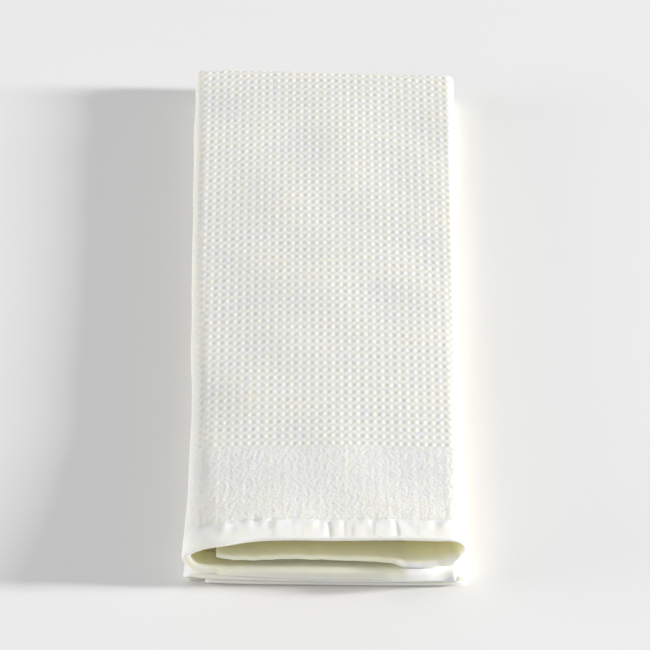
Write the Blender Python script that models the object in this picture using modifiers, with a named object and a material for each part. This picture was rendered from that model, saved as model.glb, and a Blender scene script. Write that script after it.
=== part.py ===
"""A hemmed cotton hand towel, folded in thirds along its length and then once across.

The towel is one sheet of cloth. Its width is folded into three layers: the inner third goes
round the left fold into the outer third, which goes round the right fold into the middle third.
Those three layers are then folded in half together round the back fold, so six layers lie over
each other: the lower outer, middle and inner thirds, then the upper inner, middle and outer
thirds. The two hemmed ends meet at the front, where the upper layers stand open like a mouth.

Sizes in the tables are millimetres. X runs to the right, Y to the back fold, Z up.
"""

import math

import bpy
import bmesh

MILLIMETRE = 0.001

# Driving sizes of the folded towel.
FOLDED_LENGTH = 386.0
SHEET = 2.2
TURN_RADIUS = 11.0
TURN_START = FOLDED_LENGTH - TURN_RADIUS - SHEET / 2
BACK_SLANT = 2.6

# The free side edges of the cloth lie inside the folds, this far from the outline.
MIDDLE_EDGE_INSET = 15.0
INNER_EDGE_INSET = 7.0

# Faces across each strip of the sheet, from the inner third's free edge to the middle third's.
STRIPS = (
    ("inner third", 10),
    ("left fold", 7),
    ("outer third", 14),
    ("right fold", 6),
    ("middle third", 11),
)
STRAIGHT_FACES = 16
TURN_FACES = 9

# One row for each place along the folded towel, measured from the open front end.
# left, right: reach of the outline from the middle line.
# The six layers: height of each one's middle surface where it meets the side folds.
# left_fold, right_fold: how far from the outline the upper side folds begin to round over.
# crown: how much higher the upper outer third stands in the middle than at the sides.
PLACE_COLUMNS = (
    "place", "left", "right",
    "outer_low", "middle_low", "inner_low", "inner_up", "middle_up", "outer_up",
    "left_fold", "right_fold", "crown",
)
PLACES = (
    (0.0, 74.6, 73.8, 1.1, 3.8, 6.5, 13.0, 21.2, 33.5, 21.0, 9.0, 1.0),
    (45.0, 73.0, 73.6, 1.1, 3.8, 6.5, 11.6, 18.6, 29.0, 15.0, 7.0, 1.6),
    (100.0, 73.0, 73.2, 1.1, 3.9, 6.7, 10.8, 16.6, 24.6, 10.0, 5.0, 2.2),
    (190.0, 75.0, 74.4, 1.1, 4.4, 7.7, 11.8, 16.4, 22.6, 7.0, 3.6, 2.2),
    (290.0, 76.9, 75.8, 1.1, 5.0, 8.9, 13.2, 17.6, 22.8, 5.4, 2.8, 1.6),
    (TURN_START, 78.2, 76.8, 1.1, 5.5, 9.9, 14.3, 18.7, 23.1, 4.5, 2.4, 0.5),
)

# At the front the layers are uneven from side to side. Each row is a place across the towel, and
# says how much higher each layer's end lies there. The last column curls the upper inner end down.
FRONT_COLUMNS = (
    "across", "outer_low", "middle_low", "inner_low", "inner_up", "middle_up", "outer_up", "inner_curl",
)
FRONT = (
    (-75.0, 0.0, 0.4, 1.2, -0.3, 3.0, 0.0, 0.0),
    (-60.0, 0.0, 0.3, 1.0, -0.3, 2.6, 0.0, 0.0),
    (-44.0, 0.0, 0.2, 0.6, 0.0, 0.0, 0.2, 1.5),
    (-22.0, 0.0, 0.1, 0.2, 0.0, 0.8, 0.6, 3.0),
    (5.0, 0.0, 0.0, 0.0, 0.0, 0.0, 0.2, 3.6),
    (40.0, 0.0, 0.0, 0.0, 0.0, -1.2, 0.8, 3.6),
    (75.0, 0.0, 0.4, 0.4, 0.0, 0.6, 0.0, 2.0),
)
FRONT_REACH = 75.0
CURL_REACH = 14.0

# Near the front the upper left fold stands square on the lower one: 0 is round, 1 a sharp corner.
SQUARENESS = 0.6
SQUARE_REACH = 110.0

# How far the ends of the outer thirds stand behind the inner thirds' ends, because their way
# round the back fold is longer.
UPPER_RECESS = 4.0
LOWER_RECESS = 2.0
RECESS_REACH = 70.0

CLOTH_COLOUR = (0.86, 0.84, 0.76, 1.0)
CLOTH_ROUGHNESS = 0.95


def clear_scene():
    for item in list(bpy.data.objects):
        bpy.data.objects.remove(item, do_unlink=True)


def read_row(table, columns, place):
    """Every column of a table at one place, on a smooth curve through its rows."""
    place = min(max(place, table[0][0]), table[-1][0])
    low = 0
    while low < len(table) - 2 and place > table[low + 1][0]:
        low += 1
    start, end = table[low], table[low + 1]
    before = table[max(low - 1, 0)]
    after = table[min(low + 2, len(table) - 1)]
    span = end[0] - start[0]
    t = (place - start[0]) / span
    row = {}
    for index, name in enumerate(columns):
        start_slope = (end[index] - before[index]) / (end[0] - before[0]) * span
        end_slope = (after[index] - start[index]) / (after[0] - start[0]) * span
        row[name] = (
            (2 * t**3 - 3 * t**2 + 1) * start[index]
            + (t**3 - 2 * t**2 + t) * start_slope
            + (3 * t**2 - 2 * t**3) * end[index]
            + (t**3 - t**2) * end_slope
        )
    return row


def fade_from_front(place, reach):
    return max(1 - place / reach, 0.0) ** 2


def layer_height(row, layer, across):
    """Height of a layer's middle surface, with the uneven lie of its front end."""
    front = read_row(FRONT, FRONT_COLUMNS, across)
    height = row[layer] + front[layer] * fade_from_front(row["place"], FRONT_REACH)
    if layer == "inner_up":
        height -= front["inner_curl"] * fade_from_front(row["place"], CURL_REACH)
    return height


def fold_arc(start, reach, first_height, last_height, share, squareness=0.0):
    """A point on a side fold: half an ellipse from one layer's height to another's. Squareness
    makes more of a corner of its first quarter."""
    angle = math.pi * share
    level = (first_height + last_height) / 2
    rise = (last_height - first_height) / 2
    power = 1 - squareness if share < 0.5 else 1
    return start + reach * math.sin(angle) ** power, level - rise * math.cos(angle)


def across_sheet(row, column, side):
    """Place across the towel and height, for a column of the sheet in one of its two halves."""
    for name, faces in STRIPS:
        if column <= faces:
            break
        column -= faces
    share = column / faces
    inner, middle, outer = "inner_" + side, "middle_" + side, "outer_" + side
    left_fold, right_fold = row["left_fold"], row["right_fold"]
    squareness = SQUARENESS * fade_from_front(row["place"], SQUARE_REACH)
    if side == "low":
        squareness = 0.0
        left_fold = min(left_fold, (row[inner] - row[outer]) / 2)
        right_fold = (row[middle] - row[outer]) / 2
    left = -(row["left"] - SHEET / 2) + left_fold
    right = (row["right"] - SHEET / 2) - right_fold
    if name == "left fold":
        heights = layer_height(row, inner, left), layer_height(row, outer, left)
        return fold_arc(left, -left_fold, *heights, share, squareness)
    if name == "right fold":
        heights = layer_height(row, outer, right), layer_height(row, middle, right)
        return fold_arc(right, right_fold, *heights, share)
    inner_edge = row["right"] - INNER_EDGE_INSET
    middle_edge = -row["left"] + MIDDLE_EDGE_INSET
    start, end, layer = {
        "inner third": (inner_edge, left, inner),
        "outer third": (left, right, outer),
        "middle third": (right, middle_edge, middle),
    }[name]
    across = start + (end - start) * share
    return across, layer_height(row, layer, across)


def recess(row, height, side):
    """How far a point stands back from the front, from its layer and its place."""
    inner, outer = row["inner_" + side], row["outer_" + side]
    full = UPPER_RECESS if side == "up" else LOWER_RECESS
    return full * (height - inner) / (outer - inner) * fade_from_front(row["place"], RECESS_REACH)


def crown(row, across, height, core):
    """How much a point of the upper layers is raised towards the middle line."""
    half_width = (row["left"] + row["right"]) / 2
    layer = (height - core) / (row["outer_up"] - core)
    return row["crown"] * layer * (1 - (across / half_width) ** 2)


def folded_point(column, line):
    """Where a point of the flat sheet lies once folded: its column across, its line along."""
    turned = min(max((line - STRAIGHT_FACES) / TURN_FACES, 0.0), 1.0)
    steps_from_end = min(line, 2 * STRAIGHT_FACES + TURN_FACES - line)
    place = TURN_START * min(steps_from_end / STRAIGHT_FACES, 1.0)
    row = read_row(PLACES, PLACE_COLUMNS, place)
    core = (row["outer_low"] + row["outer_up"]) / 2
    low_across, low_height = across_sheet(row, column, "low")
    up_across, up_height = across_sheet(row, column, "up")
    back = recess(row, low_height, "low") * (1 - turned) + recess(row, up_height, "up") * turned
    up_height += crown(row, up_across, up_height, core)
    across = low_across + (up_across - low_across) * turned
    slant = -BACK_SLANT * across / row["right"] * (place / TURN_START) ** 2
    if 0 < turned < 1:
        angle = math.pi * turned
        distance = (core - low_height) * (1 - turned) + (up_height - core) * turned
        return (
            across,
            place + slant + distance * math.sin(angle),
            core - distance * math.cos(angle),
        )
    return across, place + back + slant, up_height if turned else low_height


def fold_sheet():
    """A flat grid, with each of its points moved to where folding takes it."""
    columns = sum(faces for _, faces in STRIPS)
    lines = 2 * STRAIGHT_FACES + TURN_FACES
    cloth = bmesh.new()
    bmesh.ops.create_grid(cloth, x_segments=columns, y_segments=lines, size=0.5)
    for point in cloth.verts:
        column = round((point.co.x + 0.5) * columns)
        line = round((point.co.y + 0.5) * lines)
        point.co = [size * MILLIMETRE for size in folded_point(column, line)]
    mesh = bpy.data.meshes.new("towel")
    cloth.to_mesh(mesh)
    cloth.free()
    return mesh


def centre_on_origin(towel):
    """Shift the mesh so the origin is under the middle of the towel, at the surface."""
    bpy.context.view_layer.update()
    solid = towel.evaluated_get(bpy.context.evaluated_depsgraph_get()).to_mesh()
    for axis in (0, 1):
        reach = [point.co[axis] for point in solid.vertices]
        middle = (min(reach) + max(reach)) / 2
        for point in towel.data.vertices:
            point.co[axis] -= middle


def cloth_material():
    material = bpy.data.materials.new("ivory waffle cotton")
    material.use_nodes = True
    shader = material.node_tree.nodes["Principled BSDF"]
    shader.inputs["Base Color"].default_value = CLOTH_COLOUR
    shader.inputs["Roughness"].default_value = CLOTH_ROUGHNESS
    shader.inputs["Metallic"].default_value = 0.0
    return material


def make_towel(collection):
    towel = bpy.data.objects.new("towel", fold_sheet())
    collection.objects.link(towel)
    thicken = towel.modifiers.new("cloth thickness", "SOLIDIFY")
    thicken.thickness = SHEET * MILLIMETRE
    thicken.offset = 0.0
    towel.data.materials.append(cloth_material())
    towel.data.shade_smooth()
    centre_on_origin(towel)


clear_scene()
folded_towel = bpy.data.collections.new("folded hand towel")
bpy.context.scene.collection.children.link(folded_towel)
make_towel(folded_towel)
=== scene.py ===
"""A hemmed waffle-weave cotton hand towel, folded in thirds along its length and once across.

The cloth is one closed sheet. It is made flat, as it is cut and hemmed, in columns and rows of
waffle cells, and each of its points is then moved to where folding takes it. Sizes are
millimetres until the mesh is written, in metres. X runs to the right, Y to the back fold, Z up.

A point of the flat cloth is told by how far it lies across from the middle of the outer third, how
far it lies along from the upper end, and its side: 1 on the cloth's outside, -1 on its inside, and
between them on the rounded rims.
"""

import math

import bmesh
import bpy
import numpy as np
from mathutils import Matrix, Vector


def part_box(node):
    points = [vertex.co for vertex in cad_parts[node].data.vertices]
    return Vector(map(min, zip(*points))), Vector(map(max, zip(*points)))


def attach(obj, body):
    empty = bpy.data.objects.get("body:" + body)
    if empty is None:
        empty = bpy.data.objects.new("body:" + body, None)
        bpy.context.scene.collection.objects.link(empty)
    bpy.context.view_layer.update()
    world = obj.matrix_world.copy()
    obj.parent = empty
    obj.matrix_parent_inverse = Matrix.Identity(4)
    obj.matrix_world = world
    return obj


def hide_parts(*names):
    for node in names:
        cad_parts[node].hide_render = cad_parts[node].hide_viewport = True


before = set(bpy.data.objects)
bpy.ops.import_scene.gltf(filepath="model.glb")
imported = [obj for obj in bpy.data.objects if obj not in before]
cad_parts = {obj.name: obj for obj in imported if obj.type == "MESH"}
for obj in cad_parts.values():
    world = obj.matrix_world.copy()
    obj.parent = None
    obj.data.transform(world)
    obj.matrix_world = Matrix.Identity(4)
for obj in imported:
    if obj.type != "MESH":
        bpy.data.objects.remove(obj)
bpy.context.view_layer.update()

MILLIMETRE = 0.001

# Driving sizes of the folded towel, the same as its solid's.
FOLDED_LENGTH = 386.0
SHEET = 2.2
TURN_RADIUS = 11.0
TURN_START = FOLDED_LENGTH - TURN_RADIUS - SHEET / 2
BACK_SLANT = 2.6

# The free side edges of the cloth lie inside the folds, this far from the outline.
MIDDLE_EDGE_INSET = 15.0
INNER_EDGE_INSET = 7.0

# The solid's own middle before it was set over the origin.
CENTRE_X = -0.634
CENTRE_Y = 193.720

# One row for each place along the folded towel, measured from the open front end.
# left, right: reach of the outline from the middle line.
# The six layers: height of each one's middle surface where it meets the side folds.
# left_fold, right_fold: how far from the outline the upper side folds begin to round over.
# crown: how much higher the upper outer third stands in the middle than at the sides.
PLACE_COLUMNS = (
    "place", "left", "right",
    "outer_low", "middle_low", "inner_low", "inner_up", "middle_up", "outer_up",
    "left_fold", "right_fold", "crown",
)
PLACES = (
    (0.0, 74.6, 73.8, 1.1, 3.8, 6.5, 13.0, 21.2, 33.5, 21.0, 9.0, 1.0),
    (45.0, 73.0, 73.6, 1.1, 3.8, 6.5, 11.6, 18.6, 29.0, 15.0, 7.0, 1.6),
    (100.0, 73.0, 73.2, 1.1, 3.9, 6.7, 10.8, 16.6, 24.6, 10.0, 5.0, 2.2),
    (190.0, 75.0, 74.4, 1.1, 4.4, 7.7, 11.8, 16.4, 22.6, 7.0, 3.6, 2.2),
    (290.0, 76.9, 75.8, 1.1, 5.0, 8.9, 13.2, 17.6, 22.8, 5.4, 2.8, 1.6),
    (TURN_START, 78.2, 76.8, 1.1, 5.5, 9.9, 14.3, 18.7, 23.1, 4.5, 2.4, 0.5),
)

# How much higher each layer's front end lies, from side to side. It fades over FRONT_REACH.
FRONT_COLUMNS = (
    "across", "outer_low", "middle_low", "inner_low", "inner_up", "middle_up", "outer_up",
)
FRONT = (
    (-75.0, 0.0, 0.4, 1.2, -0.3, 3.0, 0.0),
    (-60.0, 0.0, 0.3, 1.0, -0.3, 2.6, 0.4),
    (-44.0, 0.0, 0.2, 0.6, 0.0, 0.0, 1.6),
    (-22.0, 0.0, 0.1, 0.2, 0.0, 0.8, 2.6),
    (5.0, 0.0, 0.0, 0.0, 0.0, 0.0, 2.3),
    (40.0, 0.0, 0.0, 0.0, 0.0, -1.2, 2.8),
    (75.0, 0.0, 0.4, 0.4, 0.0, 0.6, 1.9),
)
FRONT_REACH = 75.0

# The hems' last few millimetres, from side to side. back: how far the ends stand back. drop and
# rise: how far a layer's end lies below or above its place. half: half of its hem's thickness.
# hang: how much of it bends down and hangs. front: how far it reaches past the end line.
LOWER_END_COLUMNS = (
    "across", "back", "outer_low_back",
    "middle_low_drop", "middle_low_half", "inner_low_drop", "inner_low_half",
)
LOWER_ENDS = (
    (-75.0, 2.6, 0.5, 1.9, 1.8, 0.4, 2.3),
    (-68.0, 1.8, 1.0, 1.9, 1.85, 0.4, 2.3),
    (-60.0, 1.2, 2.5, 1.9, 1.85, 0.4, 2.3),
    (-56.0, 0.9, 3.2, 2.0, 1.75, 0.3, 2.3),
    (-52.0, 0.7, 4.0, 2.1, 1.6, 0.5, 2.2),
    (-44.0, 0.4, 5.0, 2.2, 1.45, 0.9, 2.0),
    (-36.0, 0.2, 5.5, 2.3, 1.35, 1.4, 1.7),
    (-22.0, 0.0, 6.0, 2.3, 1.3, 1.8, 1.4),
    (5.0, -0.5, 6.0, 2.3, 1.3, 2.0, 1.3),
    (34.0, -0.9, 6.0, 2.3, 1.3, 1.9, 1.3),
    (48.0, -1.0, 5.0, 2.2, 1.4, 1.6, 1.4),
    (57.0, -1.0, 4.0, 2.1, 1.5, 1.1, 1.7),
    (62.5, -1.1, 3.5, 2.1, 1.6, 0.8, 1.9),
    (66.0, -0.9, 2.0, 1.8, 1.9, 0.3, 2.2),
    (70.0, -0.7, 0.6, 1.2, 1.6, 0.0, 2.3),
    (75.0, -0.4, 0.0, 0.0, 1.1, 0.0, 1.1),
)
UPPER_END_COLUMNS = (
    "across", "inner_up_rise", "inner_up_half", "inner_hang", "inner_front",
    "middle_up_drop", "middle_up_half", "middle_hang", "middle_front", "outer_hang", "outer_front",
)
UPPER_ENDS = (
    (-75.0, -0.3, 2.3, 0.0, 1.3, 0.0, 2.0, 0.0, -0.4, 3.5, 0.0),
    (-68.0, -0.3, 2.3, 0.0, 1.3, 0.5, 2.0, 0.0, -0.4, 4.4, 0.0),
    (-60.0, -0.3, 2.3, 0.4, 1.3, 1.0, 2.0, 0.0, -0.4, 4.1, 0.3),
    (-56.0, -0.3, 2.1, 2.0, 1.3, 1.3, 2.0, 0.0, -0.4, 3.7, 0.6),
    (-52.0, -0.2, 1.9, 2.4, 1.2, 1.5, 2.0, 0.0, -0.4, 3.2, 0.9),
    (-44.0, 0.1, 1.7, 3.3, 1.0, 1.5, 2.0, 0.0, -0.4, 1.5, 1.4),
    (-36.0, 0.4, 1.4, 4.3, 0.8, 1.5, 2.0, 0.0, -0.4, 0.2, 1.8),
    (-22.0, 0.7, 1.2, 5.6, 0.7, 1.5, 2.0, 0.0, -0.4, 0.0, 2.0),
    (5.0, 0.8, 1.2, 6.3, 0.7, 1.5, 2.0, 0.0, -0.4, 0.0, 2.0),
    (30.0, 0.9, 1.2, 6.2, 0.8, 1.4, 2.0, 0.0, -0.1, 0.0, 2.0),
    (34.0, 1.1, 1.2, 6.0, 1.6, 1.2, 1.9, 0.2, 0.8, 0.0, 2.0),
    (37.5, 1.7, 1.3, 5.6, 3.3, 1.2, 1.8, 0.6, 2.4, 0.0, 2.0),
    (41.0, 2.3, 1.5, 5.3, 4.5, 1.5, 1.7, 0.9, 3.5, 0.0, 2.0),
    (47.0, 2.6, 1.6, 5.8, 3.9, 1.8, 1.7, 1.0, 3.5, 0.0, 2.0),
    (53.0, 2.3, 1.6, 6.1, 2.8, 1.8, 1.7, 1.0, 3.2, 0.0, 2.0),
    (58.0, 1.4, 1.6, 6.5, 1.6, 1.4, 1.7, 1.0, 2.7, 0.0, 2.0),
    (62.5, 0.6, 1.6, 6.6, 0.8, 0.8, 1.8, 1.6, 2.4, 0.0, 2.0),
    (66.0, 0.4, 1.6, 6.8, 0.8, 0.2, 2.2, 1.8, 2.4, 0.0, 1.8),
    (69.5, 0.4, 1.6, 6.6, 1.1, 0.0, 2.0, 1.4, 2.4, 0.0, 1.4),
    (75.0, 0.0, 1.4, 6.0, 1.1, 0.0, 1.0, 0.0, 2.5, 0.0, 0.8),
)
END_REACH = 12.0

# A hanging end turns down round a bend of its third's radius. From this much hang on the bend is
# a full quarter turn, and the cloth behind it is drawn forward over this much of its length.
HANG_RADII = {"inner": 0.7, "middle": 1.6, "outer": 5.5}
BEND_HANG = 1.5
HANG_REACH = 45.0

# How far the hems' rounded ends stand out past the cloth's last row. A lower roundness makes a
# rim squarer.
RIM_DEPTH = 1.3
RIM_ROUNDNESS = 0.7

# Near the front the inner third's free edge reaches this much further right. The stretch grows
# from the left fold, at the first place across, to the second.
INNER_SPREAD = 5.0
SPREAD_GROWS = (100.0, 210.0)

# Near the front the upper left fold stands square on the lower one: 0 is round, 1 a sharp corner.
SQUARENESS = 0.6
SQUARE_REACH = 110.0

# How far the outer thirds' ends stand behind the inner thirds' ends.
UPPER_RECESS = 4.0
LOWER_RECESS = 2.0
RECESS_REACH = 70.0

# The weave. Columns are counted from the middle of the outer third, rows from the upper end. The
# cells widen where the folded towel is wider than in its middle.
CELL_ACROSS = 4.53
CELL_ALONG = 5.68
COLUMNS_LEFT = 49
COLUMNS_RIGHT = 46
COLUMN_SHIFT = 0.25
ROW_SHIFT = 0.25
WIDENING = 0.35
MIDDLE_WIDTH = 149.4

# Bands of the cloth along its length: how many rows of faces each has, and their length.
ROW_BANDS = (
    ("upper hem", 5, 2.6),
    ("upper border", 10, 5.5),
    ("upper waffle", 64, CELL_ALONG),
    ("lower waffle", 25, 2 * CELL_ALONG),
    ("lower border", 5, 11.0),
    ("lower hem", 5, 2.6),
)
HEM = 13.0
BORDER = 55.0

# Columns of the top and its side folds, of its finely made hem and border, and of the folds'
# outsides that show at the front.
TOP_COLUMNS = (-20, 18)
FINE_COLUMNS = (-17, 16)
FOLD_COLUMNS = (-25, 23)
RIM_CUTS = 5

# The relief fades where the cloth turns down at the sides: from this much sideways facing it
# weakens, and at the second it is weakest. SIDE_WEAVE and SIDE_NUBS are the shares that are left.
SIDE_FACING = (0.35, 0.8)
SIDE_WEAVE = 0.25
SIDE_NUBS = 0.3

# The waffle's depth, the shares of its ribs across, its ribs along and its knots, how far before
# the shown rows' end it stops, and over how much of the length it blends into the border.
WAFFLE_DEPTH = 0.24
WAFFLE_ACROSS = 0.36
WAFFLE_ALONG = 0.06
WAFFLE_KNOTS = 1.25
WAFFLE_STOPS = 2.0
BAND_BLEND = 1.5

# Fields of random waves that make the cloth uneven: how close they lie across and along the cloth,
# their length in millimetres, how much it varies, how many waves lie over each other, and the seed
# they are drawn with.
WAVE_FIELDS = {
    "nubs": (0.7, 1.2, 2.1, 0.22, 90, 3),
    "mottle": (1.0, 1.0, 9.0, 0.3, 24, 5),
    "stitches": (1.0, 0.2, 11.0, 0.3, 20, 31),
    "pucker": (1.0, 0.25, 7.0, 0.25, 20, 11),
    "end waves": (1.0, 0.15, 9.0, 0.25, 16, 23),
    "sway": (1.0, 1.0, 60.0, 0.3, 16, 7),
}

# The border's nubs, which are higher on the left, its mottle and the last of the waffle's ridges.
NUB_HEIGHT = 0.13
NUB_SLOPE = 0.0009
MOTTLE_HEIGHT = 0.10
RIDGE_HEIGHT = 0.04

# The hem is drawn in along its stitches, and puckers a little before them.
STITCH_DEPTH = 0.32
STITCH_UNEVEN = 0.2
STITCH_WIDTH = 0.9
PUCKER_HEIGHT = 0.35
PUCKER_BEFORE = 3.0
PUCKER_WIDTH = 5.0

# Slow unevenness of the upper half, and waves in the middle third's end.
SWAY_HEIGHT = 0.35
END_WAVE_HEIGHT = 0.55
END_WAVES_FADE = (10.0, 40.0)
END_WAVES_FROM = 86.0

# The weave's rows bow forward at the sides. The bow grows and fades between these places along.
ROW_BOW = 7.0
BOW_GROWS = (60.0, 360.0)
BOW_FADES = (420.0, 740.0)
BOW_HALF_WIDTH = 75.0
BOW_LIMIT = 1.1

# Where the thirds turn into each other round the side folds, in millimetres across.
INNER_CHANGE = (-106.0, -90.0)
OUTER_LEFT_CHANGE = (-88.0, -70.0)
OUTER_RIGHT_CHANGE = (70.0, 78.0)
MIDDLE_CHANGE = (80.0, 88.0)
LOWER_INNER_CHANGE = (-86.0, -78.0)
LOWER_MIDDLE_CHANGE = (74.0, 80.0)

# How far across the top layer's plump hem and the side folds reach.
TOP_EDGE = 76.0
FOLD_END = 84.0

# Half thicknesses of the upper hem outside and inside the cloth, from side to side. The hems swell
# towards the ends by the power HEM_SWELL. The top layer's own hem is plumper between its edges.
HEM_OUTSIDE = ((-90.0, 1.3), (80.0, 1.1))
HEM_INSIDE = ((-64.0, 3.4), (-54.0, 2.6), (-40.0, 2.0), (58.0, 2.0), (66.0, 1.4), (74.0, 1.0))
HEM_SWELL = 0.7
TOP_HEM_HALF = 1.15
TOP_HEM_PLUMP = 0.45

# Creases in the top layer's hem, each a steep wall with a long slope to its left: place across,
# depth, width of the wall, and how far it leans to the right from the end to the stitches.
CREASES = (
    (2.6, 0.85, 0.75, -1.6),
    (9.8, 0.35, 0.8, -0.5),
    (14.0, 0.3, 0.9, 1.0),
    (21.3, 0.25, 0.8, -0.8),
    (24.6, 0.3, 0.9, 0.5),
    (37.1, 0.55, 0.75, -1.6),
    (47.0, 0.2, 1.4, 0.8),
    (-12.7, 0.15, 1.2, 0.6),
    (-17.5, 0.2, 1.4, -0.6),
    (-28.0, 0.2, 1.8, 0.5),
)
CREASE_SLOPE = 3.4
CREASE_FADES = (HEM - 3.0, HEM - 0.2)
CREASE_AT_RIM = 0.3

# How much painted fold shade a point gets. This is a warm tint that stands in for the shade and the
# warm bounced light inside the folds. It falls inside the cloth, where it grows from the ends
# inwards, on the rims, and on the middle third's lip.
INSIDE_PAINTED_SHADE = 0.55
INSIDE_GROWS = (0.0, 6.0)
RIM_PAINTED_SHADE = 0.3
LIP_PAINTED_SHADE = 0.75
LIP_RIGHT_END = 38.0
LIP_DEPTH = 6.0

# What takes the painted fold shade away again: hanging down into the light, less so for the inner
# third; bulging out right of the lip; and lying near the right side, where most of the light comes
# from.
HANGING_LIT = (1.0, 6.0)
HANGING_DEPTH = 18.0
INNER_HANGING_LIT = 0.35
BULGE_STARTS = (36.0, 44.0)
BULGE_DEPTH = 9.0
BENT_BLEND = 0.6
RIGHT_SIDE_LIT = 0.35
RIGHT_SIDE_STARTS = (40.0, 72.0)

# Samples of a cross-section: where each strip starts and ends, as shares of it, and how many. The
# free side edges run on a little past the ends of their thirds.
STRIP_SAMPLES = (
    ("inner third", -0.06, 1.0, 130),
    ("left fold", 0.0, 1.0, 80),
    ("outer third", 0.0, 1.0, 160),
    ("right fold", 0.0, 1.0, 80),
    ("middle third", 0.0, 1.06, 130),
)

# Steps of the way round the back turn, from the upper front end to the lower one.
WAY_STEPS = 1500


def strip_slices():
    """Which samples of a cross-section lie in each strip."""
    slices = {}
    first = 0
    for name, _, _, samples in STRIP_SAMPLES:
        slices[name] = slice(first, first + samples)
        first += samples
    return slices, first


STRIP_SLICES, SECTION_SAMPLES = strip_slices()


def read_table(table, columns, place):
    """Every column of a table at many places, on a smooth curve through its rows."""
    rows = np.array(table)
    stations = rows[:, 0]
    place = np.clip(np.asarray(place, dtype=float), stations[0], stations[-1])
    low = np.clip(np.searchsorted(stations, place, side="right") - 1, 0, len(rows) - 2)
    start, end = rows[low], rows[low + 1]
    before = rows[np.maximum(low - 1, 0)]
    after = rows[np.minimum(low + 2, len(rows) - 1)]
    span = end[..., :1] - start[..., :1]
    t = (place[..., None] - start[..., :1]) / span
    start_slope = (end - before) / (end[..., :1] - before[..., :1]) * span
    end_slope = (after - start) / (after[..., :1] - start[..., :1]) * span
    value = (
        (2 * t**3 - 3 * t**2 + 1) * start
        + (t**3 - 2 * t**2 + t) * start_slope
        + (3 * t**2 - 2 * t**3) * end
        + (t**3 - t**2) * end_slope
    )
    return {name: value[..., index] for index, name in enumerate(columns)}


def read_ends(across):
    """Both tables of the hems' ends at many places across."""
    return {
        **read_table(LOWER_ENDS, LOWER_END_COLUMNS, across),
        **read_table(UPPER_ENDS, UPPER_END_COLUMNS, across),
    }


def fade_from_front(place, reach):
    """1 at the front end, falling smoothly to 0 over its reach."""
    return np.maximum(1 - place / reach, 0.0) ** 2


def smooth_step(value, start, end):
    t = np.clip((value - start) / (end - start), 0.0, 1.0)
    return t * t * (3 - 2 * t)


def layer_height(row, layer, across):
    """Height of a layer's middle surface, with the uneven lie of its front end."""
    front = read_table(FRONT, FRONT_COLUMNS, across)
    return row[layer] + front[layer] * fade_from_front(row["place"], FRONT_REACH)


def fold_arc(start, reach, first_height, last_height, share, squareness=0.0):
    """Half an ellipse; squareness makes more of a corner of its first quarter."""
    angle = math.pi * share
    level = (first_height + last_height) / 2
    rise = (last_height - first_height) / 2
    power = 1 - squareness * (share < 0.5)
    return start + reach * np.sin(angle) ** power, level - rise * np.cos(angle)


def across_sheet(row, side):
    """Places across the towel and heights along one half's cross-sections."""
    inner, middle, outer = "inner_" + side, "middle_" + side, "outer_" + side
    left_fold, right_fold = row["left_fold"], row["right_fold"]
    if side == "low":
        left_fold = np.minimum(left_fold, (row[inner] - row[outer]) / 2)
        right_fold = (row[middle] - row[outer]) / 2
    left = -(row["left"] - SHEET / 2) + left_fold
    right = (row["right"] - SHEET / 2) - right_fold
    inner_edge = row["right"] - INNER_EDGE_INSET
    middle_edge = -row["left"] + MIDDLE_EDGE_INSET
    thirds = {
        "inner third": (inner_edge, left, inner),
        "outer third": (left, right, outer),
        "middle third": (right, middle_edge, middle),
    }
    places = []
    heights = []
    for name, first, last, samples in STRIP_SAMPLES:
        share = np.linspace(first, last, samples)[None, :]
        if name == "left fold":
            ends = layer_height(row, inner, left), layer_height(row, outer, left)
            square = (side == "up") * SQUARENESS * fade_from_front(row["place"], SQUARE_REACH)
            across, height = fold_arc(left, -left_fold, *ends, np.clip(share, 0, 1), square)
        elif name == "right fold":
            ends = layer_height(row, outer, right), layer_height(row, middle, right)
            across, height = fold_arc(right, right_fold, *ends, share)
        else:
            start, end, layer = thirds[name]
            across = start + (end - start) * share
            height = layer_height(row, layer, across)
        places.append(across)
        heights.append(height)
    return np.hstack(places), np.hstack(heights)


def recess(row, height, side):
    """How far a point stands back from the front, from its layer and its place."""
    inner, outer = row["inner_" + side], row["outer_" + side]
    full = UPPER_RECESS if side == "up" else LOWER_RECESS
    return full * (height - inner) / (outer - inner) * fade_from_front(row["place"], RECESS_REACH)


def third_weights():
    """How much each sample of a cross-section belongs to each third, blended round the folds."""
    weights = {name: np.zeros(SECTION_SAMPLES) for name in ("inner", "outer", "middle")}
    for third in weights:
        weights[third][STRIP_SLICES[third + " third"]] = 1.0
    for fold, before, after in (("left fold", "inner", "outer"), ("right fold", "outer", "middle")):
        part = STRIP_SLICES[fold]
        share = np.linspace(0.0, 1.0, part.stop - part.start)
        weights[before][part] = 1 - share
        weights[after][part] = share
    return weights


def place_on(way):
    """Place along the folded towel. way runs from 0 at the upper front end, through 1 and 2 at the
    ends of the back turn, to 3 at the lower front end."""
    return TURN_START * np.clip(np.minimum(way, 3 - way), 0.0, 1.0)


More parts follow.
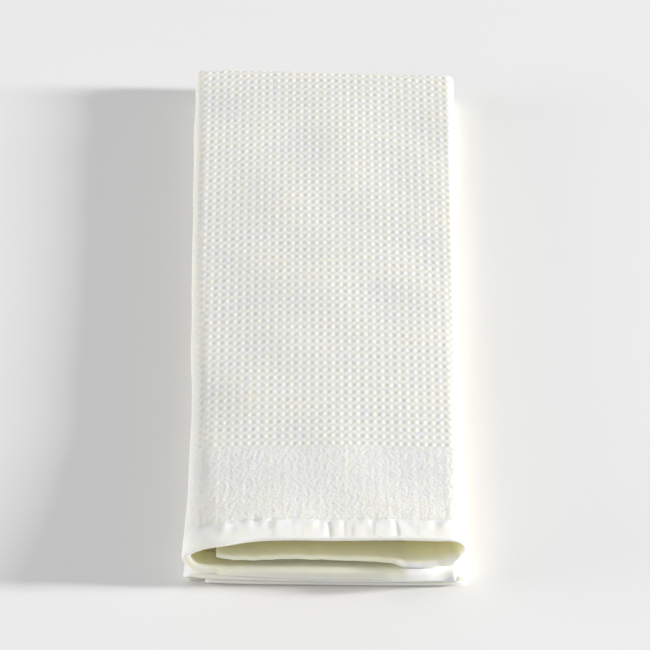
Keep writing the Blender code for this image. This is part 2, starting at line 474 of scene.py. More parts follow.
def fold_sections(way):
    """Cross-sections of the folded sheet, one for each way round from the upper front end."""
    way = np.asarray(way, dtype=float)[:, None]
    place = place_on(way)
    turned = np.clip(2 - way, 0.0, 1.0)
    row = read_table(PLACES, PLACE_COLUMNS, place)
    row["place"] = place
    core = (row["outer_low"] + row["outer_up"]) / 2
    low_across, low_height = across_sheet(row, "low")
    up_across, up_height = across_sheet(row, "up")
    back = recess(row, low_height, "low") * (1 - turned) + recess(row, up_height, "up") * turned
    half_width = (row["left"] + row["right"]) / 2
    layer = (up_height - core) / (row["outer_up"] - core)
    up_height = up_height + row["crown"] * layer * (1 - (up_across / half_width) ** 2)
    across = low_across + (up_across - low_across) * turned
    slant = -BACK_SLANT * across / row["right"] * (place / TURN_START) ** 2
    angle = math.pi * turned
    distance = (core - low_height) * (1 - turned) + (up_height - core) * turned
    along = place + back + slant + distance * np.sin(angle)
    height = core - distance * np.cos(angle)
    shift, rise = end_moves(across, place, turned > 0.5)
    width = (row["left"] + row["right"])[:, 0]
    return across, along + shift, height + rise, distance, width


def end_moves(across, place, upper):
    """How far the layers' ends stand back and are raised, in their last few millimetres."""
    fade = fade_from_front(place, END_REACH)
    ends = read_ends(across)
    thirds = third_weights()
    lower = ~upper
    rise = upper * thirds["inner"] * ends["inner_up_rise"]
    rise = rise - upper * thirds["middle"] * ends["middle_up_drop"]
    for third in ("inner", "middle"):
        rise = rise - lower * thirds[third] * ends[third + "_low_drop"]
    shift = ends["back"] * (lower + upper * thirds["inner"])
    shift += lower * thirds["outer"] * ends["outer_low_back"]
    shift -= lower * thirds["middle"] * LOWER_RECESS / 2
    return fade * shift, fade * rise


class FoldedSheet:
    """Looks up where a point of the flat cloth lies once folded.

    Its table has a row for each step along and a column for each step across, and reaches a margin
    past the side edges, all in millimetres of flat cloth.
    """

    ROW_STEP = 1.0
    COLUMN_STEP = 0.5
    MARGIN = 4.0

    def __init__(self):
        ways = np.linspace(0.0, 3.0, WAY_STEPS + 1)
        across, along, height, _, _ = fold_sections(ways)
        outer = STRIP_SLICES["outer third"]
        middle = np.argmin(np.abs(across[:, outer]), axis=1) + outer.start
        picked = np.arange(len(ways)), middle
        path = np.stack([along[picked], height[picked]])
        run = np.concatenate([[0.0], np.cumsum(np.hypot(*np.diff(path)))])
        self.length = sum(count * size for _, count, size in ROW_BANDS)
        rows = np.arange(0.0, self.length + self.ROW_STEP, self.ROW_STEP)
        way = np.interp(rows * run[-1] / self.length, run, ways)
        across, along, height, distance, width = fold_sections(way)
        reach = max(COLUMNS_LEFT, COLUMNS_RIGHT) * CELL_ACROSS + self.MARGIN
        self.first_column = -reach
        columns = np.arange(-reach, reach, self.COLUMN_STEP)
        spread = INNER_SPREAD * smooth_step(-columns, *SPREAD_GROWS)
        near_end = fade_from_front(place_on(way), FRONT_REACH)
        self.table = np.empty((len(rows), len(columns), 3))
        for index in range(len(rows)):
            steps = np.hypot(np.diff(across[index]), np.diff(distance[index]))
            girth = np.concatenate([[0.0], np.cumsum(steps)])
            girth -= np.interp(0.0, across[index, outer], girth[outer])
            wanted = columns * (1 + WIDENING * (width[index] / MIDDLE_WIDTH - 1))
            wanted -= spread * near_end[index]
            for axis, values in enumerate((across, along, height)):
                self.table[index, :, axis] = np.interp(wanted, girth, values[index])

    def point(self, across, along):
        """Both in millimetres of flat cloth, from the outer third's middle and the upper end."""
        row = np.asarray(along) / self.ROW_STEP
        column = (np.asarray(across) - self.first_column) / self.COLUMN_STEP
        r = np.clip(np.floor(row).astype(int), 0, self.table.shape[0] - 2)
        c = np.clip(np.floor(column).astype(int), 0, self.table.shape[1] - 2)
        fr, fc = (row - r)[:, None], (column - c)[:, None]
        near = self.table[r, c] * (1 - fc) + self.table[r, c + 1] * fc
        far = self.table[r + 1, c] * (1 - fc) + self.table[r + 1, c + 1] * fc
        return near * (1 - fr) + far * fr

    def frame(self, across, along, reach=0.8):
        """Point, direction across, direction along and outward direction."""
        right = self.point(across + reach, along) - self.point(across - reach, along)
        back = self.point(across, along + reach) - self.point(across, along - reach)
        right /= np.linalg.norm(right, axis=1)[:, None]
        back /= np.linalg.norm(back, axis=1)[:, None]
        out = np.cross(right, back)
        out /= np.linalg.norm(out, axis=1)[:, None]
        return self.point(across, along), right, back, out


def upper_thirds(across):
    """How much each point of the upper half belongs to each third, blended round the folds."""
    from_left = smooth_step(across, *OUTER_LEFT_CHANGE)
    return {
        "inner": 1 - smooth_step(across, *INNER_CHANGE),
        "middle": smooth_step(across, *MIDDLE_CHANGE),
        "outer": from_left * (1 - smooth_step(across, *OUTER_RIGHT_CHANGE)),
    }


def bend_places(thirds, ends, hang):
    """Where along the cloth the upper ends start to bend, and how much cloth lies past that."""
    bent = np.minimum(hang / BEND_HANG, 1.0) * math.pi / 2
    bend_at = -thirds["outer"] * ends["outer_front"]
    over_end = thirds["outer"] * hang
    for third in ("inner", "middle"):
        depth = HANG_RADII[third] + ends[third + "_up_half"]
        setback = depth * np.sin(bent) + RIM_DEPTH * np.cos(bent) - ends[third + "_front"]
        bend_at = bend_at + thirds[third] * setback
        hanging = HANG_RADII[third] * bent + np.maximum(hang - BEND_HANG, 0.0)
        over_end = over_end + thirds[third] * hanging
    return bend_at, over_end


def bend_radius(thirds):
    radius = HANG_RADII["outer"]
    for third in ("inner", "middle"):
        radius = radius + thirds[third] * (HANG_RADII[third] - HANG_RADII["outer"])
    return radius


def bend_down(point, right, back, level, over, radius):
    """Points past the end line run level up to the bend, then round it, then straight down."""
    turn = np.minimum(over / radius, math.pi / 2)[:, None]
    ahead = -back.copy()
    down = np.zeros_like(back)
    down[:, 2] = -1.0
    reach = radius[:, None]
    straight = np.maximum(over - radius * math.pi / 2, 0.0)[:, None]
    point = point + ahead * (level[:, None] + reach * np.sin(turn))
    point += down * (reach * (1 - np.cos(turn)) + straight)
    back = back * np.cos(turn) - down * np.sin(turn)
    out = np.cross(right, back)
    out /= np.linalg.norm(out, axis=1)[:, None]
    return point, right, back, out


def hang_over(folded, across, along):
    """Lets the upper layers' ends reach past the end line and bend down: frames of points, how
    much hangs, and each point's place across the folded towel."""
    place = folded.point(across, np.maximum(along, 0.0))[:, 0]
    ends = read_ends(place)
    upper = along < folded.length / 2
    thirds = upper_thirds(across)
    hang = upper * sum(thirds[third] * ends[third + "_hang"] for third in thirds)
    bend_at, over_end = bend_places(thirds, ends, hang)
    slid = along - (over_end - bend_at) * np.clip(1 - along / HANG_REACH, 0.0, 1.0)
    nearest = np.maximum(bend_at, 0.0)
    looked_up = np.where(upper, np.maximum(slid, nearest), along)
    point, right, back, _ = folded.frame(across, looked_up)
    level = np.where(upper, np.clip(-slid, 0.0, np.maximum(-bend_at, 0.0)), 0.0)
    over = np.where(upper, np.maximum(bend_at - slid, 0.0), 0.0)
    bent = bend_down(point, right, back, level, over, bend_radius(thirds))
    return *bent, hang, place


def band_edges():
    """Every row's place along the flat cloth, and the row at which each band starts."""
    edges = [0.0]
    starts = {}
    row = 0
    for name, count, size in ROW_BANDS:
        starts[name] = row
        row += count
        edges += [edges[-1] + size * (step + 1) for step in range(count)]
    return np.array(edges), starts


def refine(cloth, cuts, side, columns, rows):
    """Divide the faces of one zone of the flat cloth."""
    edges = set()
    for face in cloth.faces:
        middle = face.calc_center_median()
        if (
            middle.z * side > 0.9
            and columns[0] < middle.x < columns[1]
            and rows[0] < middle.y < rows[1]
        ):
            edges.update(face.edges)
    bmesh.ops.subdivide_edges(cloth, edges=list(edges), cuts=cuts, use_grid_fill=True)


def flat_cloth(starts, last_row):
    """The closed flat sheet: x counts columns, y rows, and z is 1 outside and -1 inside."""
    cloth = bmesh.new()
    columns = COLUMNS_LEFT + COLUMNS_RIGHT
    bmesh.ops.create_grid(cloth, x_segments=columns, y_segments=last_row, size=0.5)
    for point in cloth.verts:
        point.co.x = round((point.co.x + 0.5) * columns) - COLUMNS_LEFT
        point.co.y = round((point.co.y + 0.5) * last_row)
        point.co.z = 1.0
    if cloth.faces[:][0].normal.z < 0:
        bmesh.ops.reverse_faces(cloth, faces=cloth.faces[:])
    made = bmesh.ops.extrude_face_region(cloth, geom=cloth.faces[:], use_keep_orig=True)
    for part in made["geom"]:
        if isinstance(part, bmesh.types.BMVert):
            part.co.z = -1.0
    bmesh.ops.recalc_face_normals(cloth, faces=cloth.faces[:])
    rim = [edge for edge in cloth.edges if abs(edge.verts[0].co.z - edge.verts[1].co.z) > 1]
    bmesh.ops.subdivide_edges(cloth, edges=rim, cuts=RIM_CUTS)
    refine(cloth, 3, 1, TOP_COLUMNS, (0, starts["lower waffle"]))
    refine(cloth, 1, 1, FINE_COLUMNS, (0, starts["upper waffle"]))
    hem_rows = (0, starts["upper border"])
    for side, left, right in ((1, *FOLD_COLUMNS), (-1, -COLUMNS_LEFT, COLUMNS_RIGHT)):
        refine(cloth, 3, side, (left, TOP_COLUMNS[0]), hem_rows)
        refine(cloth, 3, side, (TOP_COLUMNS[1], right), hem_rows)
    return cloth


def random_waves(cloth, name):
    """A bumpy field with bumps of about one size, between -1 and 1 for the most part."""
    close_across, close_along, size, spread, count, seed = WAVE_FIELDS[name]
    across = cloth.across * close_across
    along = cloth.along * close_along
    chance = np.random.default_rng(seed)
    field = np.zeros(len(across))
    for _ in range(count):
        turn = chance.uniform(0, 2 * math.pi)
        pitch = size * math.exp(chance.normal(0, spread))
        phase = chance.uniform(0, 2 * math.pi)
        run = across * math.cos(turn) + along * math.sin(turn)
        field += np.cos(2 * math.pi / pitch * run + phase)
    return field / math.sqrt(count / 2) / 2


def waffle_height(column, row):
    """Pits where both are whole numbers, knots half a cell beside them."""
    across = np.cos(2 * math.pi * column)
    along = np.cos(2 * math.pi * row)
    return -(WAFFLE_ACROSS * across + WAFFLE_ALONG * along + WAFFLE_KNOTS * across * along)


class ClothPoints:
    """Every point of the flat cloth's mesh, by its place on the cloth."""

    def __init__(self, mesh, edges):
        flat = np.empty(len(mesh.vertices) * 3)
        mesh.vertices.foreach_get("co", flat)
        self.column, self.row, self.side = flat.reshape(-1, 3).T
        self.along = np.interp(self.row, np.arange(len(edges)), edges)
        self.across = (self.column + COLUMN_SHIFT) * CELL_ACROSS
        self.weave_row = (self.along - HEM - BORDER) / CELL_ALONG + ROW_SHIFT
        self.from_end = np.minimum(self.along, edges[-1] - self.along)
        self.upper = self.along < edges[-1] / 2
        self.outside = self.side > 0.99
        self.inside = self.side < -0.99
        self.on_rim = ~self.outside & ~self.inside
        self.in_hem = 1 - smooth_step(self.from_end, HEM - BAND_BLEND, HEM)
        self.first_end = self.row < 0.01
        self.last_end = self.row > len(edges) - 1.01
        self.left_edge = self.column < 0.01 - COLUMNS_LEFT
        self.right_edge = self.column > COLUMNS_RIGHT - 0.01


def bowed_along(cloth):
    """The weave bows forward at the sides, more and more towards the back fold."""
    growth = smooth_step(cloth.along, *BOW_GROWS) * (1 - smooth_step(cloth.along, *BOW_FADES))
    shown = np.clip(cloth.across / BOW_HALF_WIDTH, -BOW_LIMIT, BOW_LIMIT)
    return cloth.along - ROW_BOW * growth * shown**2


def hem_half(cloth, ends):
    """Half thickness of the hems, on each point's own side of the cloth."""
    thirds = upper_thirds(cloth.across)
    low = SHEET / 2
    first_low = 1 - smooth_step(cloth.across, *LOWER_INNER_CHANGE)
    low = low + first_low * (ends["inner_low_half"] - low)
    low = low + smooth_step(cloth.across, *LOWER_MIDDLE_CHANGE) * (ends["middle_low_half"] - low)
    halves = []
    for table in (HEM_OUTSIDE, HEM_INSIDE):
        half = np.interp(cloth.across, *zip(*table))
        for third in ("inner", "middle"):
            half = half + thirds[third] * (ends[third + "_up_half"] - half)
        halves.append(np.where(cloth.upper, half, low))
    return np.where(cloth.side > 0, *halves)


def cloth_half(cloth, ends):
    """Half the cloth's thickness. The hems are three plies of cloth, the field is one."""
    swell = np.clip(1 - cloth.from_end / HEM, 0.0, 1.0) ** HEM_SWELL
    half = SHEET / 2 + (hem_half(cloth, ends) - SHEET / 2) * swell
    round_over = np.sin(math.pi * np.clip(cloth.from_end / HEM, 0, 1))
    plump = TOP_HEM_HALF + TOP_HEM_PLUMP * round_over
    top_hem = cloth.upper & (cloth.side > 0) & (np.abs(cloth.across) < TOP_EDGE)
    return np.where(top_hem, SHEET / 2 + (plump - SHEET / 2) * cloth.in_hem, half)


def woven_relief(cloth, level, last_top):
    """The waffle and the nubby border, weaker where the cloth turns down at the sides."""
    waffle_zone = smooth_step(cloth.along, HEM + BORDER - BAND_BLEND, HEM + BORDER + BAND_BLEND)
    on_top = cloth.outside & (cloth.along < last_top)
    on_top &= (cloth.column > TOP_COLUMNS[0]) & (cloth.column < TOP_COLUMNS[1])
    strength = WAFFLE_DEPTH * waffle_zone * (SIDE_WEAVE + (1 - SIDE_WEAVE) * level)
    relief = np.where(on_top, strength, 0.0) * waffle_height(cloth.column, cloth.weave_row)
    border_zone = (1 - waffle_zone) * (1 - cloth.in_hem)
    nub_height = NUB_HEIGHT - NUB_SLOPE * cloth.across
    nubs = nub_height * random_waves(cloth, "nubs")
    mottle = MOTTLE_HEIGHT * random_waves(cloth, "mottle")
    ridges = RIDGE_HEIGHT * np.cos(2 * math.pi * cloth.column)
    in_border = cloth.outside & cloth.upper & (np.abs(cloth.column) < TOP_COLUMNS[1])
    nubby = border_zone * (nubs + mottle + ridges) * (SIDE_NUBS + (1 - SIDE_NUBS) * level)
    return relief + np.where(in_border, nubby, 0.0)


def hem_relief(cloth):
    """The hem is drawn in along its stitches, creased, and puckered before the stitches."""
    across, from_end = cloth.across, cloth.from_end
    stitches = np.exp(-((from_end - HEM) / STITCH_WIDTH) ** 2)
    pull = STITCH_DEPTH + STITCH_UNEVEN * random_waves(cloth, "stitches")
    drawn = np.where(cloth.upper | ~cloth.outside, pull * stitches, 0.0)
    relief = -drawn * (cloth.outside | cloth.inside)
    run_out = 1 - smooth_step(from_end, *CREASE_FADES)
    folds = np.zeros(len(across))
    for middle, depth, width, lean in CREASES:
        centre = middle + lean * (from_end / HEM - 0.5)
        reach = np.where(across < centre, CREASE_SLOPE * width, width)
        folds += depth * run_out * np.exp(-((across - centre) / reach) ** 2)
    pucker = PUCKER_HEIGHT * random_waves(cloth, "pucker")
    folds -= pucker * np.exp(-((from_end - HEM + PUCKER_BEFORE) / PUCKER_WIDTH) ** 2)
    return relief - np.where(cloth.outside & cloth.upper, folds, 0.0)


def slow_relief(cloth):
    """Slow unevenness of the upper half."""
    sway = SWAY_HEIGHT * random_waves(cloth, "sway")
    return np.where(cloth.upper & cloth.outside, sway, 0.0)


def end_waves(cloth):
    """The middle third's end waves gently where its hem is drawn in."""
    waves = END_WAVE_HEIGHT * random_waves(cloth, "end waves")
    waves *= 1 - smooth_step(cloth.from_end, *END_WAVES_FADE)
    return np.where(cloth.upper & (cloth.across > END_WAVES_FROM), waves, 0.0)


def rim_bulge(cloth):
    """How far the cloth's rounded rims stand out, less where a crease meets the end."""
    crease = np.zeros(len(cloth.across))
    for middle, depth, width, lean in CREASES:
        beside = (cloth.across - middle + lean / 2) / width
        crease += depth * CREASE_AT_RIM * np.exp(-beside**2)
    at_end = cloth.upper & cloth.first_end & ~cloth.inside
    depth = np.where(cloth.first_end | cloth.last_end, RIM_DEPTH, SHEET / 2)
    depth = depth - np.where(at_end, crease, 0.0)
    rounding = np.clip(np.cos(cloth.side * math.pi / 2), 0.0, 1.0) ** RIM_ROUNDNESS
    return np.where(cloth.on_rim, rounding * depth, 0.0)


def rim_direction(cloth, right, back):
    """Which way each rim of the cloth faces."""
    outward = np.zeros_like(right)
    outward[cloth.first_end] -= back[cloth.first_end]
    outward[cloth.last_end] += back[cloth.last_end]
    outward[cloth.left_edge] -= right[cloth.left_edge]
    outward[cloth.right_edge] += right[cloth.right_edge]
    return outward


def painted_fold_shade(cloth, hang, place):
    """Painted fold shade: 1 is fully painted in shade inside the folds, 0 is out in the light."""
    across, from_end, upper = cloth.across, cloth.from_end, cloth.upper
    past_folds = np.abs(across) >= FOLD_END
    in_folds = INSIDE_PAINTED_SHADE + (1 - INSIDE_PAINTED_SHADE) * smooth_step(from_end, *INSIDE_GROWS)
    painted_shade_amount = np.where(cloth.inside, in_folds, 0.0)
    painted_shade_amount = np.where(cloth.on_rim, RIM_PAINTED_SHADE, painted_shade_amount)
    painted_shade_amount = np.where(upper & ~cloth.inside & ~past_folds, 0.0, painted_shade_amount)

    # A hanging end faces the light, the middle third's more so.
    hanging = smooth_step(hang, *HANGING_LIT) * (from_end < HANGING_DEPTH)
    painted_shade_amount *= 1 - hanging * np.where(across > MIDDLE_CHANGE[0], 1.0, INNER_HANGING_LIT)
    lip = upper & (across > FOLD_END) & (place < LIP_RIGHT_END) & (from_end < LIP_DEPTH)
    painted_shade_amount = np.where(lip, np.maximum(painted_shade_amount, LIP_PAINTED_SHADE), painted_shade_amount)

    # Right of the lip both ends bulge into the light.
    bulging = (across < -FOLD_END) & (from_end < BULGE_DEPTH)
    bent_part = 1 - smooth_step(from_end, hang - BENT_BLEND, hang + BENT_BLEND)
    lit = upper * np.where(across > FOLD_END, bent_part, bulging)
    painted_shade_amount *= 1 - lit * smooth_step(place, *BULGE_STARTS)
    return painted_shade_amount * (1 - RIGHT_SIDE_LIT * upper * smooth_step(place, *RIGHT_SIDE_STARTS))


def write_weave(mesh, cloth, level, painted_shade_amount):
    """Where each point lies in the weave, in cells, how strong the weave is, and its painted fold
    shade.
    """
    loops = np.empty(len(mesh.loops), dtype=np.int32)
    mesh.loops.foreach_get("vertex_index", loops)
    weave = np.stack([cloth.column, cloth.weave_row], axis=1)[loops]
    mesh.uv_layers.new(name="weave").data.foreach_set("uv", weave.ravel())
    strength = SIDE_WEAVE + (1 - SIDE_WEAVE) * level
    for name, values in (("weave_strength", strength), ("painted_fold_shade", painted_shade_amount)):
        attribute = mesh.attributes.new(name, "FLOAT", "POINT")
        attribute.data.foreach_set("value", values.astype(np.float32))


def write_finishes(mesh, cloth, material_names):
    """Waffle in the field, nubby cloth in the borders and plain cloth in the hems."""
    count = len(mesh.polygons)
    loops = np.empty(len(mesh.loops), dtype=np.int32)
    mesh.loops.foreach_get("vertex_index", loops)
    first_loops = np.empty(count, dtype=np.int32)
    mesh.polygons.foreach_get("loop_start", first_loops)
    corners = np.empty(count, dtype=np.int32)
    mesh.polygons.foreach_get("loop_total", corners)
    middle = np.add.reduceat(cloth.from_end[loops], first_loops) / corners
    finish = np.zeros(count, dtype=np.int32)
    finish[middle < HEM + BORDER] = 1
    finish[middle < HEM] = 2
    mesh.polygons.foreach_set("material_index", finish)
    mesh.polygons.foreach_set("use_smooth", np.ones(count, dtype=bool))
    for name in material_names:
        mesh.materials.append(bpy.data.materials[name])


def build_cloth(folded, material_names):
    edges, starts = band_edges()
    flat = flat_cloth(starts, len(edges) - 1)
    mesh = bpy.data.meshes.new("towel_cloth")
    flat.to_mesh(mesh)
    flat.free()
    cloth = ClothPoints(mesh, edges)
    point, right, back, out, hang, place = hang_over(folded, cloth.across, bowed_along(cloth))
    ends = read_ends(place)
    level = 1 - smooth_step(np.abs(out[:, 0]), *SIDE_FACING)
    last_top = edges[starts["lower waffle"]] - WAFFLE_STOPS
    relief = woven_relief(cloth, level, last_top) + hem_relief(cloth)
    waves = end_waves(cloth)
    relief += slow_relief(cloth)
    raised = np.sin(cloth.side * math.pi / 2) * cloth_half(cloth, ends)
    raised += np.sign(cloth.side) * relief + waves
    spot = point + out * raised[:, None]
    spot += rim_direction(cloth, right, back) * rim_bulge(cloth)[:, None]
    spot[:, 2] = np.maximum(spot[:, 2], 0.0)
    spot *= MILLIMETRE
    box_low, box_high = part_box("towel")
    spot[:, 0] += (box_low[0] + box_high[0]) / 2 - CENTRE_X * MILLIMETRE
    spot[:, 1] += (box_low[1] + box_high[1]) / 2 - CENTRE_Y * MILLIMETRE
    mesh.vertices.foreach_set("co", spot.ravel())
    write_weave(mesh, cloth, level, painted_fold_shade(cloth, hang, place))
    write_finishes(mesh, cloth, material_names)
    mesh.update()
    towel = bpy.data.objects.new("towel_cloth", mesh)
    bpy.context.scene.collection.objects.link(towel)
    return towel


# Materials.

# The finish's waffle: the shares of its ribs across, its ribs along and its knots.
FINISH_ACROSS = 0.24
FINISH_ALONG = 0.05
FINISH_KNOTS = 0.72

# How much the threads, the waffle and the nubs stand up, and how much painted shade they put in the
# colour: darker in their hollows, lighter on what stands up.
THREAD_HEIGHT = 0.12
THREAD_PAINTED_SHADE = 0.22
WAFFLE_HEIGHT = 0.33
WAFFLE_PAINTED_SHADE = 0.32
NUB_PAINTED_SHADE = 0.8

# How far the threads wander, in cells, and the warm tint of the painted fold shade that the colour
# is multiplied by inside the folds.
THREAD_WOBBLE = 0.09
PAINTED_FOLD_SHADE_TINT = (1.12, 1.05, 0.76)

# What every cotton finish has in common.
COTTON_SURFACE = {
    "Roughness": 0.92,
    "Specular IOR Level": 0.2,
    "Sheen Weight": 0.15,
    "Sheen Roughness": 0.5,
    "Subsurface Weight": 0.85,
    "Subsurface Radius": (1.0, 0.9, 0.55),
    "Subsurface Scale": 0.005,
}


def new_group(name, inputs, outputs):
    group = bpy.data.node_groups.new(name, "ShaderNodeTree")
    for label, value in inputs:
        socket = group.interface.new_socket(label, in_out="INPUT", socket_type="NodeSocketFloat")
        socket.default_value = value
    for label in outputs:
        group.interface.new_socket(label, in_out="OUTPUT", socket_type="NodeSocketFloat")
    return group, group.nodes.new("NodeGroupInput"), group.nodes.new("NodeGroupOutput")


def math_node(tree, operation, first, second=None):
    node = tree.nodes.new("ShaderNodeMath")
    node.operation = operation
    for index, value in enumerate((first, second)):
        if value is None:
            continue
        if isinstance(value, (int, float)):
            node.inputs[index].default_value = value
        else:
            tree.links.new(value, node.inputs[index])
    return node.outputs[0]


def add(tree, first, second):
    return math_node(tree, "ADD", first, second)


def times(tree, first, second):
    return math_node(tree, "MULTIPLY", first, second)


def weave_place(tree):
    uv = tree.nodes.new("ShaderNodeUVMap")
    uv.uv_map = "weave"
    parts = tree.nodes.new("ShaderNodeSeparateXYZ")
    tree.links.new(uv.outputs["UV"], parts.inputs[0])
    return uv.outputs["UV"], parts.outputs["X"], parts.outputs["Y"]


def wave(tree, place, per_cell):
    turns = times(tree, per_cell, 2 * math.pi)
    return math_node(tree, "COSINE", times(tree, place, turns))


def noise_node(tree, vector, scale, detail, roughness):
    node = tree.nodes.new("ShaderNodeTexNoise")
    tree.links.new(vector, node.inputs["Vector"])
    node.inputs["Scale"].default_value = scale
    node.inputs["Detail"].default_value = detail
    node.inputs["Roughness"].default_value = roughness
    return node.outputs["Fac"]


def centred_noise(tree, vector, scale, detail, roughness):
    return math_node(tree, "SUBTRACT", noise_node(tree, vector, scale, detail, roughness), 0.5)


def threads_group():
    """Crossing threads, a little uneven, with loose fibres. Its Shade is painted shade between the
    threads, plus random patches of tone.
    """
    group, given, result = new_group(
        "cotton threads",
        (("Across Per Cell", 10.0), ("Along Per Cell", 12.0), ("Fibres", 0.5)),
        ("Height", "Shade"),
    )
    uv, column, row = weave_place(group)
    wobble = noise_node(group, uv, scale=1.7, detail=3.0, roughness=0.5)
    column = add(group, column, times(group, wobble, THREAD_WOBBLE))
    row = add(group, row, times(group, wobble, THREAD_WOBBLE))
    warp = wave(group, column, given.outputs["Across Per Cell"])
    weft = wave(group, row, given.outputs["Along Per Cell"])
    cross = times(group, warp, weft)
    fibre = centred_noise(group, uv, scale=26.0, detail=4.0, roughness=0.65)
    fibre = times(group, fibre, given.outputs["Fibres"])
    height = add(group, times(group, cross, 0.5), fibre)
    group.links.new(height, result.inputs["Height"])
    patches = centred_noise(group, uv, scale=5.0, detail=4.0, roughness=0.6)
    shade = add(group, times(group, cross, 0.25), patches)
    group.links.new(shade, result.inputs["Shade"])
    return group


def waffle_group():
    """The waffle's height, from -1 in a pit to 1 on a knot."""
    group, given, result = new_group("waffle cells", (("Depth", 1.0),), ("Height",))
    _, column, row = weave_place(group)
    across = wave(group, column, 1.0)
    along = wave(group, row, 1.0)
    ribs = add(group, times(group, across, FINISH_ACROSS), times(group, along, FINISH_ALONG))
    knots = times(group, times(group, across, along), FINISH_KNOTS)
    height = times(group, add(group, ribs, knots), -1.0)
    group.links.new(times(group, height, given.outputs["Depth"]), result.inputs["Height"])
    return group


def mixed_colour(tree, blend, factor, first, second):
    """A Mix node's colour. A colour that is given as numbers is set on the node's own socket."""
    node = tree.nodes.new("ShaderNodeMix")
    node.data_type = "RGBA"
    node.blend_type = blend
    tree.links.new(factor, node.inputs["Factor"])
    for label, colour in (("A", first), ("B", second)):
        if isinstance(colour, tuple):
            node.inputs[label].default_value = (*colour, 1.0)
        else:
            tree.links.new(colour, node.inputs[label])
    return node.outputs["Result"]


def attribute_value(tree, name):
    node = tree.nodes.new("ShaderNodeAttribute")
    node.attribute_name = name
    return node.outputs["Fac"]


def cotton(name, light, painted_shade_colour, threads, thread_settings, bump_depth, waffle=None, nub_scale=None):
    """A cotton finish: painted shade makes it lighter on what stands up and darker in what lies
    low, and inside the folds it gets a warm painted fold shade.
    """
    material = bpy.data.materials.new(name)
    material.use_nodes = True
    tree = material.node_tree
    shader = tree.nodes["Principled BSDF"]
    weave = tree.nodes.new("ShaderNodeGroup")
    weave.node_tree = threads
    for label, value in thread_settings.items():
        weave.inputs[label].default_value = value
    height = times(tree, weave.outputs["Height"], THREAD_HEIGHT)
    shade = times(tree, weave.outputs["Shade"], THREAD_PAINTED_SHADE)
    if waffle:
        cells = tree.nodes.new("ShaderNodeGroup")
        cells.node_tree = waffle
        tree.links.new(attribute_value(tree, "weave_strength"), cells.inputs["Depth"])
        height = add(tree, height, times(tree, cells.outputs["Height"], WAFFLE_HEIGHT))
        shade = add(tree, shade, times(tree, cells.outputs["Height"], WAFFLE_PAINTED_SHADE))
    if nub_scale:
        uv, _, _ = weave_place(tree)
        nub = centred_noise(tree, uv, nub_scale, detail=2.0, roughness=0.5)
        height = add(tree, height, nub)
        shade = add(tree, shade, times(tree, nub, NUB_PAINTED_SHADE))
    # Painted shade: the colour runs from the painted shade colour in the hollows to the light
    # colour on what stands up.
    tint = mixed_colour(tree, "MIX", add(tree, shade, 0.5), painted_shade_colour, light)
    # Painted fold shade: a warm tint multiplies the colour as far as the fold shade attribute says.
    colour_with_painted_shade = mixed_colour(tree, "MULTIPLY", attribute_value(tree, "painted_fold_shade"), tint, PAINTED_FOLD_SHADE_TINT)
    tree.links.new(colour_with_painted_shade, shader.inputs["Base Color"])
    bump = tree.nodes.new("ShaderNodeBump")
    bump.inputs["Distance"].default_value = bump_depth
    tree.links.new(height, bump.inputs["Height"])
    tree.links.new(bump.outputs["Normal"], shader.inputs["Normal"])
    for label, value in COTTON_SURFACE.items():
        shader.inputs[label].default_value = value


def waffle_cotton(threads, cells):
    light = (0.925, 0.905, 0.83)
    painted_shade_colour = (0.80, 0.78, 0.67)
    weave = {"Across Per Cell": 9.0, "Along Per Cell": 11.0, "Fibres": 0.6}
    cotton("waffle cotton", light, painted_shade_colour, threads, weave, bump_depth=0.0006, waffle=cells)


def border_cotton(threads):
    light = (0.925, 0.91, 0.85)
    painted_shade_colour = (0.82, 0.80, 0.71)
    weave = {"Across Per Cell": 8.0, "Along Per Cell": 9.0, "Fibres": 1.0}
    cotton("nubby border cotton", light, painted_shade_colour, threads, weave, bump_depth=0.0007, nub_scale=2.6)


def hem_cotton(threads):
    light = (0.93, 0.92, 0.88)
    painted_shade_colour = (0.86, 0.85, 0.79)
    weave = {"Across Per Cell": 14.0, "Along Per Cell": 16.0, "Fibres": 0.5}
    cotton("plain hem cotton", light, painted_shade_colour, threads, weave, bump_depth=0.0004)


def make_materials():
    threads = threads_group()
    cells = waffle_group()
    waffle_cotton(threads, cells)
    border_cotton(threads)
    hem_cotton(threads)
    return "waffle cotton", "nubby border cotton", "plain hem cotton"


# The room: a plain pale floor, soft light and the camera.

FLOOR_SIZE = 6.0
FLOOR_COLOUR = (0.82, 0.82, 0.822, 1.0)
SKY_COLOUR = (1.0, 1.0, 1.0, 1.0)
SKY_STRENGTH = 0.475

# Each light is a rectangle that faces the towel. Its place and size are metres, its power watts.
LIGHT_COLUMNS = ("name", "place", "width", "height", "power")
LIGHTS = (
    ("side window", (5.0, -0.2, 1.285), 0.44, 1.04, 422.0),
    ("far reflector", (-1.6, 0.0, 1.1), 1.2, 1.0, 6.0),
    ("low reflector", (-3.0, -0.3, 0.6), 1.5, 1.0, 34.0),
)

CAMERA_TARGET = Vector((0.0, -0.0006, 0.015))
CAMERA_ELEVATION = 45.5
CAMERA_DISTANCE = 1.80
CAMERA_LENS = 177.2
CAMERA_SENSOR = 36.0
CAMERA_SHIFT = (0.001, -0.0323)


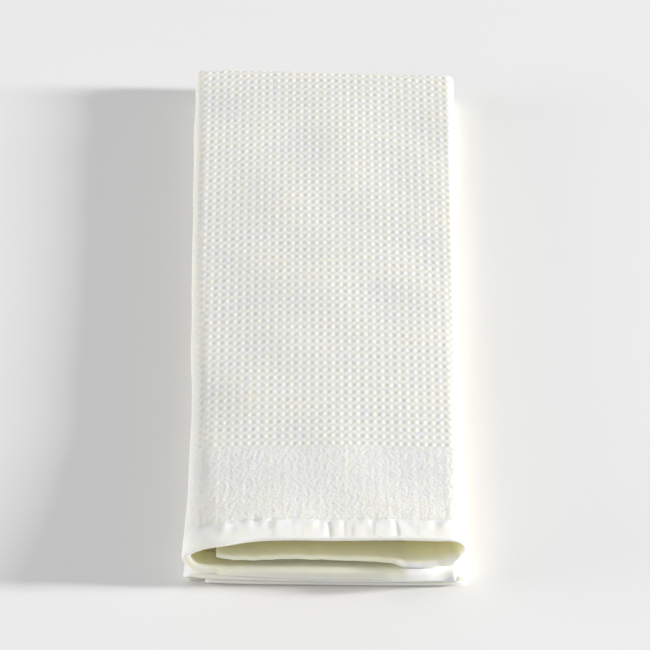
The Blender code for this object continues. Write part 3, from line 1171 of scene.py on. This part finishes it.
def make_floor():
    floor = bmesh.new()
    bmesh.ops.create_grid(floor, x_segments=1, y_segments=1, size=FLOOR_SIZE)
    mesh = bpy.data.meshes.new("floor")
    floor.to_mesh(mesh)
    floor.free()
    item = bpy.data.objects.new("floor", mesh)
    bpy.context.scene.collection.objects.link(item)
    material = bpy.data.materials.new("pale floor")
    material.use_nodes = True
    shader = material.node_tree.nodes["Principled BSDF"]
    shader.inputs["Base Color"].default_value = FLOOR_COLOUR
    shader.inputs["Roughness"].default_value = 0.9
    shader.inputs["Specular IOR Level"].default_value = 0.1
    mesh.materials.append(material)


def make_light(name, place, width, height, power):
    light = bpy.data.lights.new(name, "AREA")
    light.shape = "RECTANGLE"
    light.size = width
    light.size_y = height
    light.energy = power
    lamp = bpy.data.objects.new(name, light)
    lamp.location = place
    lamp.rotation_euler = (-Vector(place)).to_track_quat("-Z", "Y").to_euler()
    bpy.context.scene.collection.objects.link(lamp)


def light_room():
    world = bpy.data.worlds.new("studio")
    bpy.context.scene.world = world
    world.use_nodes = True
    sky = world.node_tree.nodes["Background"]
    sky.inputs["Color"].default_value = SKY_COLOUR
    sky.inputs["Strength"].default_value = SKY_STRENGTH
    for light in LIGHTS:
        make_light(**dict(zip(LIGHT_COLUMNS, light)))


def make_camera():
    camera = bpy.data.cameras.new("camera")
    camera.lens = CAMERA_LENS
    camera.sensor_width = CAMERA_SENSOR
    camera.shift_x, camera.shift_y = CAMERA_SHIFT
    item = bpy.data.objects.new("camera", camera)
    rise = math.radians(CAMERA_ELEVATION)
    back = Vector((0.0, -math.cos(rise), math.sin(rise)))
    item.location = CAMERA_TARGET + back * CAMERA_DISTANCE
    item.rotation_euler = (-back).to_track_quat("-Z", "Y").to_euler()
    bpy.context.scene.collection.objects.link(item)
    bpy.context.scene.camera = item


bpy.context.scene.view_settings.view_transform = "Standard"
make_camera()
light_room()
make_floor()
folded = FoldedSheet()
towel = build_cloth(folded, make_materials())
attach(towel, "root")
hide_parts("towel")
